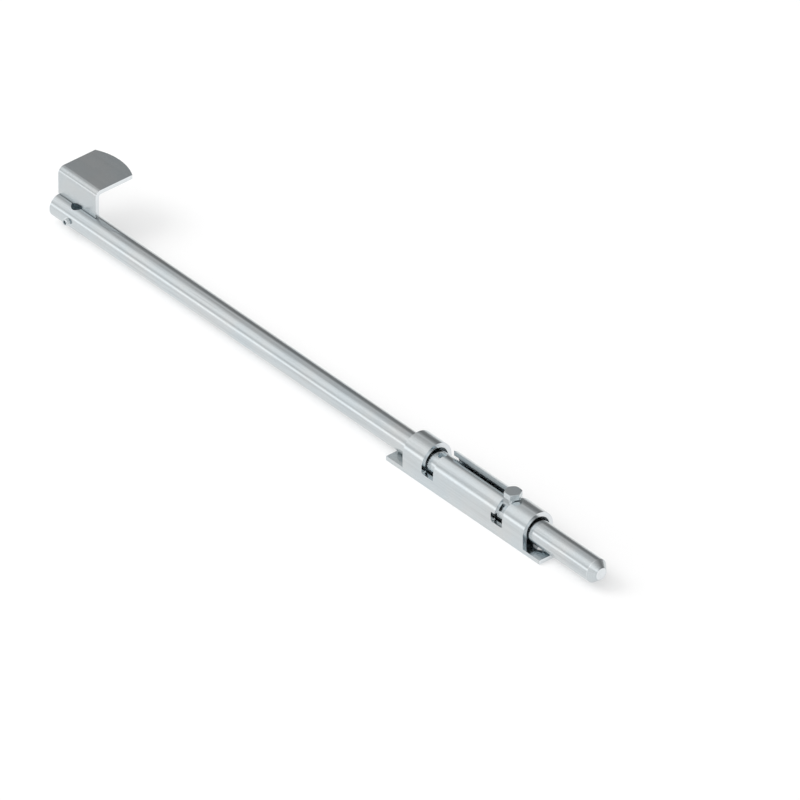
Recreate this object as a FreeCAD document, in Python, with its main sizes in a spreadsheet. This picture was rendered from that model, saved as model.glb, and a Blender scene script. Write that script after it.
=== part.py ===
import FreeCAD, Part
import math
import os

import Sketcher

# Flush bolt for a door or gate: a round steel rod that slides in a sheet steel housing.
# A hex bolt screwed into the rod runs in an H-shaped slot and locks it at either end.
#
# Frame, in millimetres: the origin is the middle of the base plate's back face, +X points
# along the rod towards its chamfered tip, and +Z points away from the door.

# ---------------------------------------------------------------------------------------
# Driving sizes
# ---------------------------------------------------------------------------------------

SIZES = [
    ("sheet_thickness", 3.0),         # base plate, tunnel and handle are all this stock
    ("travel", 66.0),                 # between the two locking slots, and the tapped holes
    ("slot_to_tunnel_end", 23.0),     # locking slot's middle to the tunnel's end
    ("tunnel_end_to_screw", 4.0),
    ("screw_to_plate_end", 11.5),
    ("screw_hole_diameter", 5.5),
    ("countersink_diameter", 11.0),
    ("countersink_angle", 90.0),
    ("rod_diameter", 16.0),
    ("rod_length", 510.0),
    ("rod_side_gap", 1.0),            # between the rod and the tunnel's walls
    ("rod_floor_gap", 0.3),           # between the rod and the base plate
    ("rod_end_break", 0.4),           # broken edge at the handle end
    ("tip_chamfer_length", 4.75),
    ("tip_face_diameter", 8.0),
    ("tip_to_bolt", 82.0),            # rod's tip to the hex bolt's hole
    ("end_to_handle", 17.6),          # rod's handle end to the handle's hole
    ("thread_gap", 0.1),              # plain shank to plain bore, all round
    ("bolt_diameter", 6.0),
    ("bolt_end_inset", 1.1),          # bolt's end inside the rod's far side
    ("bolt_flats", 10.0),
    ("bolt_head_height", 4.0),
    ("bolt_head_chamfer", 0.55),      # depth of the cone at the head's corners
    ("bolt_crown_share", 0.95),       # flat top's diameter over the size across flats
    ("bolt_end_chamfer", 0.6),
    ("bolt_head_gap", 0.4),           # under the head, above the tunnel's crown
    ("long_slot_gap", 1.7),           # beside the shank in the slot along the crown
    ("front_slot_gap", 0.65),         # beside the shank in the locking slot near the tip
    ("rear_slot_gap", 2.4),           # beside the shank in the other locking slot
    ("slot_floor_gap", 0.3),          # under the shank when it lies over
    ("slot_corner_radius", 1.2),
    ("notch_depth", 3.2),
    ("handle_width", 35.5),
    ("handle_height", 19.0),
    ("handle_reach", 34.0),
    ("handle_arc_rise", 4.5),
    ("bend_radius", 1.5),             # inside the handle's bend
    ("tang_width", 6.0),
    ("tang_length", 10.3),
    ("tang_slack", 1.292),            # hole diameter less the tang's diagonal
    ("tang_gap", 0.1),                # tang's rear corners to the wall of its hole
    ("handle_seat_gap", 0.3),         # handle's lower edge above the rod
    ("grub_diameter", 5.0),
    ("grub_length", 10.0),
    ("grub_chamfer", 0.6),
    ("grub_key_flats", 2.5),
    ("grub_key_depth", 3.0),
]

doc = FreeCAD.newDocument("FlushBolt")
sheet = doc.addObject("Spreadsheet::Sheet", "Sizes")
for row, (alias, value) in enumerate(SIZES, start=1):
    sheet.set(f"A{row}", alias)
    sheet.set(f"B{row}", str(value))
    sheet.setAlias(f"B{row}", alias)
doc.recompute()

# Sizes that follow from the driving ones, as expressions on the sheet.
ROD_RADIUS = "Sizes.rod_diameter / 2"
BORE_RADIUS = f"({ROD_RADIUS} + Sizes.rod_side_gap)"
TUNNEL_RADIUS = f"({BORE_RADIUS} + Sizes.sheet_thickness)"
ARCH_HEIGHT = f"(Sizes.sheet_thickness + {BORE_RADIUS})"
CROWN_HEIGHT = f"({ARCH_HEIGHT} + {TUNNEL_RADIUS})"
AXIS_HEIGHT = f"(Sizes.sheet_thickness + Sizes.rod_floor_gap + {ROD_RADIUS})"
BAR_LENGTH = "(Sizes.rod_length - Sizes.tip_chamfer_length)"
FRONT_SLOT = "Sizes.travel / 2"       # where the hex bolt stands while the rod is shot
REAR_SLOT = "-Sizes.travel / 2"
TUNNEL_HALF = f"({FRONT_SLOT} + Sizes.slot_to_tunnel_end)"
SCREW_STATION = f"({TUNNEL_HALF} + Sizes.tunnel_end_to_screw)"
PLATE_HALF = f"({SCREW_STATION} + Sizes.screw_to_plate_end)"
ROD_START = f"({FRONT_SLOT} + Sizes.tip_to_bolt - Sizes.rod_length)"
BOLT_RADIUS = "Sizes.bolt_diameter / 2"
GRUB_RADIUS = "Sizes.grub_diameter / 2"
HEAD_SEAT = f"({CROWN_HEIGHT} + Sizes.bolt_head_gap)"
SHANK_LENGTH = f"({HEAD_SEAT} - {AXIS_HEIGHT} + {ROD_RADIUS} - Sizes.bolt_end_inset)"
TANG_HOLE_RADIUS = "(sqrt(Sizes.tang_width ^ 2 + Sizes.sheet_thickness ^ 2) + Sizes.tang_slack) / 2"
TANG_BACK = f"sqrt(({TANG_HOLE_RADIUS} - Sizes.tang_gap) ^ 2 - (Sizes.tang_width / 2) ^ 2)"
TANG_FRONT = f"({TANG_BACK} - Sizes.sheet_thickness)"
OVERCUT = "5"                         # how far a cut runs past the metal it removes


# ---------------------------------------------------------------------------------------
# Shared steps
# ---------------------------------------------------------------------------------------

def number(expression):
    """The value of an expression on the sheet."""
    return float(sheet.evalExpression(expression))


def new_body(label, place_x="0", place_y="0", place_z="0"):
    """An empty body, with its origin placed by three expressions."""
    body = doc.addObject("PartDesign::Body", label)
    body.Label = label
    body.setExpression(".Placement.Base.x", place_x)
    body.setExpression(".Placement.Base.y", place_y)
    body.setExpression(".Placement.Base.z", place_z)
    return body


def origin_feature(body, role):
    """The body's own plane or axis of that role."""
    return next(item for item in body.Origin.OriginFeatures if item.Role == role)


def new_sketch(body, name, plane, offset="0"):
    """A sketch on one of the body's origin planes, moved along the plane's normal."""
    sketch = body.newObject("Sketcher::SketchObject", name)
    sketch.AttachmentSupport = [(origin_feature(body, plane), "")]
    sketch.MapMode = "FlatFace"
    sketch.setExpression(".AttachmentOffset.Base.z", offset)
    return sketch


def pin_coordinate(sketch, geometry, point, direction, expression):
    """Hold one coordinate of a sketch point at an expression."""
    if expression == "0":
        axis = -2 if direction == "X" else -1
        sketch.addConstraint(Sketcher.Constraint("PointOnObject", geometry, point, axis))
        return
    name = f"Distance{direction}"
    rule = Sketcher.Constraint(name, -1, 1, geometry, point, number(expression))
    index = sketch.addConstraint(rule)
    sketch.setExpression(f"Constraints[{index}]", expression)


def pin_point(sketch, geometry, point, place):
    """Hold a sketch point at a pair of expressions."""
    pin_coordinate(sketch, geometry, point, "X", place[0])
    pin_coordinate(sketch, geometry, point, "Y", place[1])


def vector(place):
    return FreeCAD.Vector(number(place[0]), number(place[1]), 0)


def draw_polygon(sketch, corners):
    """A closed outline of straight lines through pairs of expressions."""
    following = corners[1:] + corners[:1]
    lines = [Part.LineSegment(vector(a), vector(b)) for a, b in zip(corners, following)]
    first = sketch.addGeometry(lines, False)[0]
    count = len(corners)
    for index in range(count):
        after = first + (index + 1) % count
        sketch.addConstraint(Sketcher.Constraint("Coincident", first + index, 2, after, 1))
        pin_point(sketch, first + index, 1, corners[index])


def draw_rectangle(sketch, left, right, bottom, top):
    """A rectangle between four expressions."""
    draw_polygon(sketch, [(left, bottom), (right, bottom), (right, top), (left, top)])


def draw_circle(sketch, centre, radius):
    """A circle at a pair of expressions."""
    circle = Part.Circle(vector(centre), FreeCAD.Vector(0, 0, 1), number(radius))
    index = sketch.addGeometry(circle, False)
    pin_point(sketch, index, 3, centre)
    rule = sketch.addConstraint(Sketcher.Constraint("Radius", index, number(radius)))
    sketch.setExpression(f"Constraints[{rule}]", radius)


def draw_hexagon(sketch, flats):
    """A hexagon across those flats, with two corners on the sketch's X axis."""
    corner = f"({flats}) / sqrt(3)"
    half = f"({flats}) / sqrt(12)"
    side = f"({flats}) / 2"
    right = [(half, f"-{side}"), (corner, "0"), (half, side)]
    left = [(f"-{half}", side), (f"-{corner}", "0"), (f"-{half}", f"-{side}")]
    draw_polygon(sketch, right + left)


def add_feature(body, kind, name, sketch):
    """A feature made from a sketch."""
    feature = body.newObject(f"PartDesign::{kind}", name)
    feature.Profile = sketch
    sketch.Visibility = False
    return feature


def pad(body, name, sketch, length, symmetric=False, reverse=False):
    feature = add_feature(body, "Pad", name, sketch)
    feature.setExpression("Length", length)
    feature.SideType = "Symmetric" if symmetric else "One side"
    feature.Reversed = reverse
    doc.recompute()
    return feature


def pocket_through(body, name, sketch):
    """Cut a sketch right through the body, both ways."""
    feature = add_feature(body, "Pocket", name, sketch)
    feature.Type = "ThroughAll"
    feature.SideType = "Symmetric"
    doc.recompute()
    return feature


def pocket_one_way(body, name, sketch, depth, reverse=False):
    """Cut a sketch to a depth, against its normal unless reversed."""
    feature = add_feature(body, "Pocket", name, sketch)
    feature.setExpression("Length", depth)
    feature.Reversed = reverse
    doc.recompute()
    return feature


def edges_where(body, test):
    """The names of the body's edges that pass a test on the edge and its middle."""
    to_body = body.Placement.inverse()
    names = []
    for index, edge in enumerate(body.Shape.Edges, start=1):
        if test(edge, to_body.multVec(edge.CenterOfMass)):
            names.append(f"Edge{index}")
    return names


def dress(body, kind, name, edges, size_name, size):
    """A fillet or chamfer on named edges of the body's last feature."""
    base = body.Tip
    feature = body.newObject(f"PartDesign::{kind}", name)
    feature.Base = (base, edges)
    feature.setExpression(size_name, size)
    doc.recompute()
    return feature


def near(value, expression):
    return abs(value - number(expression)) < 1e-4


# ---------------------------------------------------------------------------------------
# Base plate: flat strip with a countersunk fixing hole near each end
# ---------------------------------------------------------------------------------------

def make_base_plate():
    body = new_body("base_plate")
    outline = new_sketch(body, "PlateOutline", "XY_Plane")
    draw_rectangle(outline, f"-{PLATE_HALF}", PLATE_HALF, f"-{TUNNEL_RADIUS}", TUNNEL_RADIUS)
    pad(body, "PlatePad", outline, "Sizes.sheet_thickness")

    centres = new_sketch(body, "ScrewCentres", "XY_Plane", "Sizes.sheet_thickness")
    for side in ("-", ""):
        draw_circle(centres, (f"{side}{SCREW_STATION}", "0"), "Sizes.screw_hole_diameter / 2")
    doc.recompute()
    holes = add_feature(body, "Hole", "ScrewHoles", centres)
    holes.DepthType = "ThroughAll"
    holes.HoleCutType = "Countersink"
    holes.HoleCutCustomValues = True
    holes.setExpression("Diameter", "Sizes.screw_hole_diameter")
    holes.setExpression("HoleCutDiameter", "Sizes.countersink_diameter")
    holes.setExpression("HoleCutCountersinkAngle", "Sizes.countersink_angle")
    doc.recompute()
    return body


# ---------------------------------------------------------------------------------------
# Tunnel: strip bent to an arch, welded along the plate, with the H-shaped slot
# ---------------------------------------------------------------------------------------

def draw_arch(sketch, radius, foot):
    """An upright arch about the sketch's Y axis, springing at the arch height."""
    centre = FreeCAD.Vector(0, number(ARCH_HEIGHT), 0)
    size = number(radius)
    bottom = number(foot)
    circle = Part.Circle(centre, FreeCAD.Vector(0, 0, 1), size)
    corners = [
        FreeCAD.Vector(-size, bottom, 0),
        FreeCAD.Vector(-size, centre.y, 0),
        FreeCAD.Vector(size, centre.y, 0),
        FreeCAD.Vector(size, bottom, 0),
    ]
    sketch.addGeometry([
        Part.LineSegment(corners[0], corners[1]),
        Part.ArcOfCircle(circle, 0, math.pi),
        Part.LineSegment(corners[2], corners[3]),
        Part.LineSegment(corners[3], corners[0]),
    ], False)
    sketch.addConstraint([
        Sketcher.Constraint("Tangent", 0, 2, 1, 2),
        Sketcher.Constraint("Tangent", 1, 1, 2, 1),
        Sketcher.Constraint("Coincident", 2, 2, 3, 1),
        Sketcher.Constraint("Coincident", 3, 2, 0, 1),
        Sketcher.Constraint("Vertical", 0),
        Sketcher.Constraint("Vertical", 2),
        Sketcher.Constraint("Horizontal", 3),
    ])
    pin_coordinate(sketch, 1, 3, "X", "0")
    pin_coordinate(sketch, 1, 3, "Y", ARCH_HEIGHT)
    pin_coordinate(sketch, 3, 1, "Y", foot)
    rule = sketch.addConstraint(Sketcher.Constraint("Radius", 1, size))
    sketch.setExpression(f"Constraints[{rule}]", radius)


def make_tunnel():
    body = new_body("tunnel")
    outside = new_sketch(body, "ArchOutside", "YZ_Plane")
    draw_arch(outside, TUNNEL_RADIUS, "Sizes.sheet_thickness")
    pad(body, "ArchPad", outside, f"2 * {TUNNEL_HALF}", symmetric=True)
    inside = new_sketch(body, "ArchInside", "YZ_Plane")
    draw_arch(inside, BORE_RADIUS, "0")
    pocket_through(body, "ArchBore", inside)

    slot_floor = f"{AXIS_HEIGHT} - {BOLT_RADIUS} - Sizes.slot_floor_gap"
    notch_top = f"{AXIS_HEIGHT} + {BOLT_RADIUS} + Sizes.slot_floor_gap"
    above = f"{CROWN_HEIGHT} + {OVERCUT}"
    front_half = f"({BOLT_RADIUS} + Sizes.front_slot_gap)"
    rear_half = f"({BOLT_RADIUS} + Sizes.rear_slot_gap)"

    rear = new_sketch(body, "RearSlot", "XZ_Plane")
    draw_rectangle(rear, f"{REAR_SLOT} - {rear_half}", f"{REAR_SLOT} + {rear_half}", slot_floor, above)
    pocket_through(body, "RearSlotCut", rear)

    # The front slot steps back at its foot, so that the shank drops into a notch.
    front = new_sketch(body, "FrontSlot", "XZ_Plane")
    left = f"{FRONT_SLOT} - {front_half}"
    right = f"{FRONT_SLOT} + {front_half}"
    notch_left = f"{left} - Sizes.notch_depth"
    draw_polygon(front, [
        (notch_left, slot_floor),
        (right, slot_floor),
        (right, above),
        (left, above),
        (left, notch_top),
        (notch_left, notch_top),
    ])
    pocket_through(body, "FrontSlotCut", front)

    crown = new_sketch(body, "CrownSlot", "XY_Plane", ARCH_HEIGHT)
    half_slot = f"{BOLT_RADIUS} + Sizes.long_slot_gap"
    draw_rectangle(crown, REAR_SLOT, FRONT_SLOT, f"-({half_slot})", half_slot)
    pocket_one_way(body, "CrownSlotCut", crown, f"{TUNNEL_RADIUS} + {OVERCUT}", reverse=True)

    def is_slot_foot(edge, middle):
        along_y = edge.BoundBox.XLength < 1e-4 and edge.BoundBox.ZLength < 1e-4
        return along_y and near(middle.z, slot_floor)

    corners = edges_where(body, is_slot_foot)
    dress(body, "Fillet", "SlotCorners", corners, "Radius", "Sizes.slot_corner_radius")
    return body


# ---------------------------------------------------------------------------------------
# Rod: long round bar, bored for the handle, its grub screw and the hex bolt
# ---------------------------------------------------------------------------------------

def make_rod():
    body = new_body("rod", ROD_START, "0", AXIS_HEIGHT)
    section = new_sketch(body, "RodSection", "YZ_Plane")
    draw_circle(section, ("0", "0"), ROD_RADIUS)
    pad(body, "RodPad", section, BAR_LENGTH)

    def is_handle_end(edge, middle):
        return edge.BoundBox.XLength < 1e-4 and near(middle.x, "0")

    dress(body, "Chamfer", "EndBreak", edges_where(body, is_handle_end), "Size", "Sizes.rod_end_break")

    tang_hole = new_sketch(body, "TangHole", "XY_Plane")
    draw_circle(tang_hole, ("Sizes.end_to_handle", "0"), TANG_HOLE_RADIUS)
    pocket_through(body, "TangHoleCut", tang_hole)

    grub_hole = new_sketch(body, "GrubHole", "XZ_Plane")
    draw_circle(grub_hole, ("Sizes.end_to_handle", "0"), f"{GRUB_RADIUS} + Sizes.thread_gap")
    pocket_one_way(body, "GrubHoleCut", grub_hole, f"{ROD_RADIUS} + {OVERCUT}", reverse=True)

    # The two tapped holes: the spare one first, and its copy where the hex bolt sits.
    spare_hole = new_sketch(body, "SpareHole", "XY_Plane")
    spare_place = "Sizes.rod_length - Sizes.tip_to_bolt - Sizes.travel"
    draw_circle(spare_hole, (spare_place, "0"), f"{BOLT_RADIUS} + Sizes.thread_gap")
    first_cut = pocket_through(body, "SpareHoleCut", spare_hole)
    pair = body.newObject("PartDesign::LinearPattern", "TappedHoles")
    pair.Originals = [first_cut]
    pair.Direction = (spare_hole, ["H_Axis"])
    pair.setExpression("Length", "Sizes.travel")
    pair.Occurrences = 2
    body.Tip = pair
    doc.recompute()
    return body


# ---------------------------------------------------------------------------------------
# Rod tip: the long chamfer turned on the rod's leading end. It slides with the rod but
# is a solid of revolution, so it need not turn with it.
# ---------------------------------------------------------------------------------------

def make_rod_tip():
    body = new_body("rod_tip", f"{ROD_START} + {BAR_LENGTH}", "0", AXIS_HEIGHT)
    profile = new_sketch(body, "TipProfile", "XZ_Plane")
    draw_polygon(profile, [
        ("0", "0"),
        ("Sizes.tip_chamfer_length", "0"),
        ("Sizes.tip_chamfer_length", "Sizes.tip_face_diameter / 2"),
        ("0", ROD_RADIUS),
    ])
    turned = add_feature(body, "Revolution", "TipTurned", profile)
    turned.ReferenceAxis = (profile, ["H_Axis"])
    turned.Angle = 360
    doc.recompute()
    return body


# ---------------------------------------------------------------------------------------
# Handle: one bent sheet, a flange with a tang below and a finger plate with a bowed edge
# ---------------------------------------------------------------------------------------

def make_handle():
    station = f"{ROD_START} + Sizes.end_to_handle"
    seat = f"{AXIS_HEIGHT} + {ROD_RADIUS} + Sizes.handle_seat_gap"
    body = new_body("handle", station, TANG_FRONT, seat)
    half_width = "Sizes.handle_width / 2"
    thickness = "Sizes.sheet_thickness"
    under = f"Sizes.handle_height - {thickness}"

    angle = new_sketch(body, "HandleAngle", "YZ_Plane")
    draw_polygon(angle, [
        ("0", "0"),
        (thickness, "0"),
        (thickness, under),
        ("Sizes.handle_reach", under),
        ("Sizes.handle_reach", "Sizes.handle_height"),
        ("0", "Sizes.handle_height"),
    ])
    pad(body, "HandlePad", angle, "Sizes.handle_width", symmetric=True)

    def is_outer_bend(edge, middle):
        return near(middle.y, "0") and near(middle.z, "Sizes.handle_height")

    def is_inner_bend(edge, middle):
        return near(middle.y, thickness) and near(middle.z, under)

    inner = edges_where(body, is_inner_bend)
    dress(body, "Fillet", "InnerBend", inner, "Radius", "Sizes.bend_radius")
    outer = edges_where(body, is_outer_bend)
    dress(body, "Fillet", "OuterBend", outer, "Radius", f"Sizes.bend_radius + {thickness}")

    # The finger plate's far edge is an arc that bows out in the middle.
    shoulder = "Sizes.handle_reach - Sizes.handle_arc_rise"
    beyond = f"Sizes.handle_reach + {OVERCUT}"
    bow_radius = f"(({half_width}) ^ 2 + Sizes.handle_arc_rise ^ 2) / (2 * Sizes.handle_arc_rise)"
    bow = new_sketch(body, "BowedEdge", "XY_Plane", "Sizes.handle_height")
    left = vector((f"-{half_width}", shoulder))
    right = vector((half_width, shoulder))
    middle = vector(("0", "Sizes.handle_reach"))
    far_right = vector((half_width, beyond))
    far_left = vector((f"-{half_width}", beyond))
    bow.addGeometry([
        Part.Arc(right, middle, left),
        Part.LineSegment(left, far_left),
        Part.LineSegment(far_left, far_right),
        Part.LineSegment(far_right, right),
    ], False)
    for index in range(3):
        bow.addConstraint(Sketcher.Constraint("Coincident", index, 2, index + 1, 1))
    bow.addConstraint(Sketcher.Constraint("Coincident", 3, 2, 0, 1))
    pin_point(bow, 1, 1, (f"-{half_width}", shoulder))
    pin_point(bow, 2, 1, (f"-{half_width}", beyond))
    pin_point(bow, 3, 1, (half_width, beyond))
    pin_point(bow, 0, 1, (half_width, shoulder))
    rule = bow.addConstraint(Sketcher.Constraint("Radius", 0, number(bow_radius)))
    bow.setExpression(f"Constraints[{rule}]", bow_radius)
    doc.recompute()
    pocket_one_way(body, "BowedEdgeCut", bow, f"{thickness} + {OVERCUT}")

    # The tang's outline starts a little way up the flange, so that the two join.
    tang = new_sketch(body, "Tang", "XZ_Plane")
    half_tang = "Sizes.tang_width / 2"
    draw_rectangle(tang, f"-{half_tang}", half_tang, "-Sizes.tang_length", thickness)
    pad(body, "TangPad", tang, thickness, reverse=True)
    return body


# ---------------------------------------------------------------------------------------
# Grub screw: clamps the tang, with a hexagon socket in its outer end
# ---------------------------------------------------------------------------------------

def make_grub_screw():
    station = f"{ROD_START} + Sizes.end_to_handle"
    body = new_body("grub_screw", station, TANG_FRONT, AXIS_HEIGHT)
    section = new_sketch(body, "GrubSection", "XZ_Plane")
    draw_circle(section, ("0", "0"), GRUB_RADIUS)
    pad(body, "GrubPad", section, "Sizes.grub_length")

    def is_rim(edge, middle):
        return edge.BoundBox.YLength < 1e-4

    dress(body, "Chamfer", "GrubChamfers", edges_where(body, is_rim), "Size", "Sizes.grub_chamfer")
    socket = new_sketch(body, "KeySocket", "XZ_Plane", "Sizes.grub_length")
    draw_hexagon(socket, "Sizes.grub_key_flats")
    doc.recompute()
    pocket_one_way(body, "KeySocketCut", socket, "Sizes.grub_key_depth")
    return body


# ---------------------------------------------------------------------------------------
# Hex bolt: screwed into the rod, its shank runs in the slot and its head stands above
# ---------------------------------------------------------------------------------------

def make_hex_bolt():
    body = new_body("hex_bolt", FRONT_SLOT, "0", HEAD_SEAT)
    head = new_sketch(body, "HeadHexagon", "XY_Plane")
    draw_hexagon(head, "Sizes.bolt_flats")
    pad(body, "HeadPad", head, "Sizes.bolt_head_height")

    # A cone turns the head's top corners down to a circle inside the flats.
    crown = new_sketch(body, "HeadCone", "XZ_Plane")
    rim = "Sizes.bolt_flats / 2 * Sizes.bolt_crown_share"
    corner = "Sizes.bolt_flats / sqrt(3)"
    outside = f"{corner} + {OVERCUT}"
    slope = f"Sizes.bolt_head_chamfer / ({corner} - {rim})"
    draw_polygon(crown, [
        (rim, "Sizes.bolt_head_height"),
        (outside, f"Sizes.bolt_head_height - {slope} * ({outside} - {rim})"),
        (outside, f"Sizes.bolt_head_height + {OVERCUT}"),
        (rim, f"Sizes.bolt_head_height + {OVERCUT}"),
    ])
    cone = add_feature(body, "Groove", "HeadConeCut", crown)
    cone.ReferenceAxis = (crown, ["V_Axis"])
    cone.Angle = 360
    doc.recompute()

    shank = new_sketch(body, "Shank", "XY_Plane")
    draw_circle(shank, ("0", "0"), BOLT_RADIUS)
    pad(body, "ShankPad", shank, SHANK_LENGTH, reverse=True)

    def is_shank_end(edge, middle):
        return near(middle.z, f"-{SHANK_LENGTH}")

    end = edges_where(body, is_shank_end)
    dress(body, "Chamfer", "ShankChamfer", end, "Size", "Sizes.bolt_end_chamfer")
    return body


# ---------------------------------------------------------------------------------------
# Build, check and write
# ---------------------------------------------------------------------------------------

def check_cuts():
    """Each pocket, groove and hole has to remove metal."""
    for item in doc.Objects:
        if item.TypeId.split("::")[-1] in ("Pocket", "Groove", "Hole"):
            before = item.BaseFeature.Shape.Volume
            if item.Shape.Volume > before - 1e-3:
                raise RuntimeError(f"{item.Name} cuts nothing")


def check_objects(bodies):
    """No failed object, and one valid solid in each body."""
    for item in doc.Objects:
        if "Invalid" in item.State or "Error" in item.State:
            raise RuntimeError(f"{item.Name} failed: {item.State}")
    for body in bodies:
        shape = body.Shape
        if shape.isNull() or not shape.isValid() or len(shape.Solids) != 1:
            raise RuntimeError(f"{body.Label} is not one valid solid")


BODIES = [
    make_base_plate(),
    make_tunnel(),
    make_rod(),
    make_rod_tip(),
    make_handle(),
    make_grub_screw(),
    make_hex_bolt(),
]
doc.recompute()
check_cuts()
check_objects(BODIES)

os.makedirs("parts", exist_ok=True)
for part_body in BODIES:
    part_body.Shape.exportStep(f"parts/{part_body.Label}.step")
    box = part_body.Shape.BoundBox
    print(
        part_body.Label,
        f"x {box.XMin:.2f} {box.XMax:.2f}",
        f"y {box.YMin:.2f} {box.YMax:.2f}",
        f"z {box.ZMin:.2f} {box.ZMax:.2f}",
        f"volume {part_body.Shape.Volume:.1f}",
    )
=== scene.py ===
import math

import bmesh
import bpy
from mathutils import Matrix, Vector


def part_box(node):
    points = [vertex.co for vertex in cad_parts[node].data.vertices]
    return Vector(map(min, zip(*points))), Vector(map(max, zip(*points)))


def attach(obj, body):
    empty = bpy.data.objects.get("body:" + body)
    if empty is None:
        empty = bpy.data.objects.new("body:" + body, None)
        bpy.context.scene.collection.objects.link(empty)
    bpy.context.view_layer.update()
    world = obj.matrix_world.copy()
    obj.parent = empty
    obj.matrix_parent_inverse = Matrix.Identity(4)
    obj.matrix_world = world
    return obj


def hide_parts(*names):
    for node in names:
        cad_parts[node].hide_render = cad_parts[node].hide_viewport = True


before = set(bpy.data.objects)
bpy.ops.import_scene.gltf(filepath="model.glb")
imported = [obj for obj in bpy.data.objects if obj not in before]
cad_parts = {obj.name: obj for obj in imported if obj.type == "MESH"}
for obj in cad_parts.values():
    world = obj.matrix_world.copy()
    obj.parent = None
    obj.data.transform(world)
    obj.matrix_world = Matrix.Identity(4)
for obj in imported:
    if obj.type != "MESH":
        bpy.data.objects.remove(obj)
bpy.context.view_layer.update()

# Flush bolt of zinc-plated steel: a round rod in a sheet steel housing, worked by a bent
# handle at its far end and guided by a hex bolt that runs in the housing's slot.
# Lengths are in metres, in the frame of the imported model: +X towards the rod's tip, +Z
# away from the door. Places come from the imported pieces' own boxes.


# ---------------------------------------------------------------------------------------
# Camera: a long lens, far enough away that parallel edges stay parallel.
# It looks down on the bolt's front, with the rod's tip nearer than its handle.
# ---------------------------------------------------------------------------------------

AZIMUTH = math.radians(49.75)
ELEVATION = math.radians(35.26)
VIEW_WIDTH = 0.4813       # what the camera takes in, at the rod
DISTANCE = 20.0
NEAREST, FARTHEST = 1.0, 100.0
TIP_ACROSS = 0.1212       # how far the rod's tip stands to the right of the view's middle
TIP_DOWN = 0.1048         # and below it

tip_low, tip_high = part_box("rod_tip")
axis_y = (tip_low.y + tip_high.y) / 2
axis_z = (tip_low.z + tip_high.z) / 2
tip_centre = Vector((tip_high.x, axis_y, axis_z))
back = Vector((
    math.sin(AZIMUTH) * math.cos(ELEVATION),
    -math.cos(AZIMUTH) * math.cos(ELEVATION),
    math.sin(ELEVATION),
))
across = Vector((math.cos(AZIMUTH), math.sin(AZIMUTH), 0))
upward = back.cross(across)
aim = tip_centre - TIP_ACROSS * across + TIP_DOWN * upward

camera_data = bpy.data.cameras.new("camera")
camera_data.lens = DISTANCE * camera_data.sensor_width / VIEW_WIDTH
camera_data.clip_start = NEAREST
camera_data.clip_end = FARTHEST
camera = bpy.data.objects.new("camera", camera_data)
camera.location = aim + DISTANCE * back
camera.rotation_euler = back.to_track_quat("Z", "Y").to_euler()
bpy.context.scene.collection.objects.link(camera)
bpy.context.scene.camera = camera
bpy.context.scene.view_settings.view_transform = "Standard"


# ---------------------------------------------------------------------------------------
# Studio: a pale floor under the plate, and a soft room of light panels round it.
# Metal mirrors both. The wall behind is dark, which gives round metal its dark band.
# A softbox over the front left lights the floor and casts the shadows.
# ---------------------------------------------------------------------------------------

def node_adder(tree):
    """A call that adds a node to a tree, with its inputs set or linked."""
    def add(kind, inputs=None, **settings):
        node = tree.nodes.new(kind)
        for key, value in settings.items():
            setattr(node, key, value)
        for key, value in (inputs or {}).items():
            if isinstance(value, bpy.types.NodeSocket):
                tree.links.new(value, node.inputs[key])
            else:
                node.inputs[key].default_value = value
        return node
    return add


def empty_tree(owner):
    """The call that adds nodes to a material or world, once its old nodes are gone."""
    owner.use_nodes = True
    owner.node_tree.nodes.clear()
    return node_adder(owner.node_tree)


def calculator(add):
    """Short calls for the arithmetic of a node tree."""
    def calculate(operation, *values):
        return add("ShaderNodeMath", dict(enumerate(values)), operation=operation).outputs[0]
    return calculate


def ramp(add, factor, stops):
    """A colour ramp of stops, each a place and a grey or a colour."""
    node = add("ShaderNodeValToRGB", {"Fac": factor})
    elements = node.color_ramp.elements
    while len(elements) < len(stops):
        elements.new(0.5)
    for element, (place, colour) in zip(elements, stops):
        shade = (colour,) * 3 if isinstance(colour, (int, float)) else colour
        element.position = place
        element.color = (*shade, 1)
    return node.outputs["Color"]


def room_wall(add, turn, panels):
    """The room's light by the angle from overhead, in degrees, positive to the front."""
    return ramp(add, turn, [((angle + 180) / 360, light) for angle, light in panels])


MIRRORINGS = 12           # light in the housing is mirrored many times on its way out
WHITE = (1, 1, 1, 1)
LEFT_ENDS, RIGHT_STARTS = -0.15, 0.4     # directions along X between which the walls blend
LEFT_PANELS = [           # each panel's angle and its light
    (-104, 1.16), (-90, 0.57), (-74, 0.27), (-58, 0.23), (-47, 0.33), (-40, 0.42),
    (-32, 0.69), (-12, 0.63), (0, 0.78), (9, 0.98), (24, 1.14), (38, 1.18), (52, 1.06),
    (62, 0.81), (69, 0.88), (78, 1.50), (88, 1.58), (97, 1.10),
]
RIGHT_PANELS = [
    (-104, 0.95), (-84, 0.49), (-60, 0.23), (-40, 0.40), (-10, 0.70), (15, 1.05),
    (35, 1.32), (48, 1.32), (62, 0.89), (90, 1.03), (104, 0.88),
]

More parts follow.
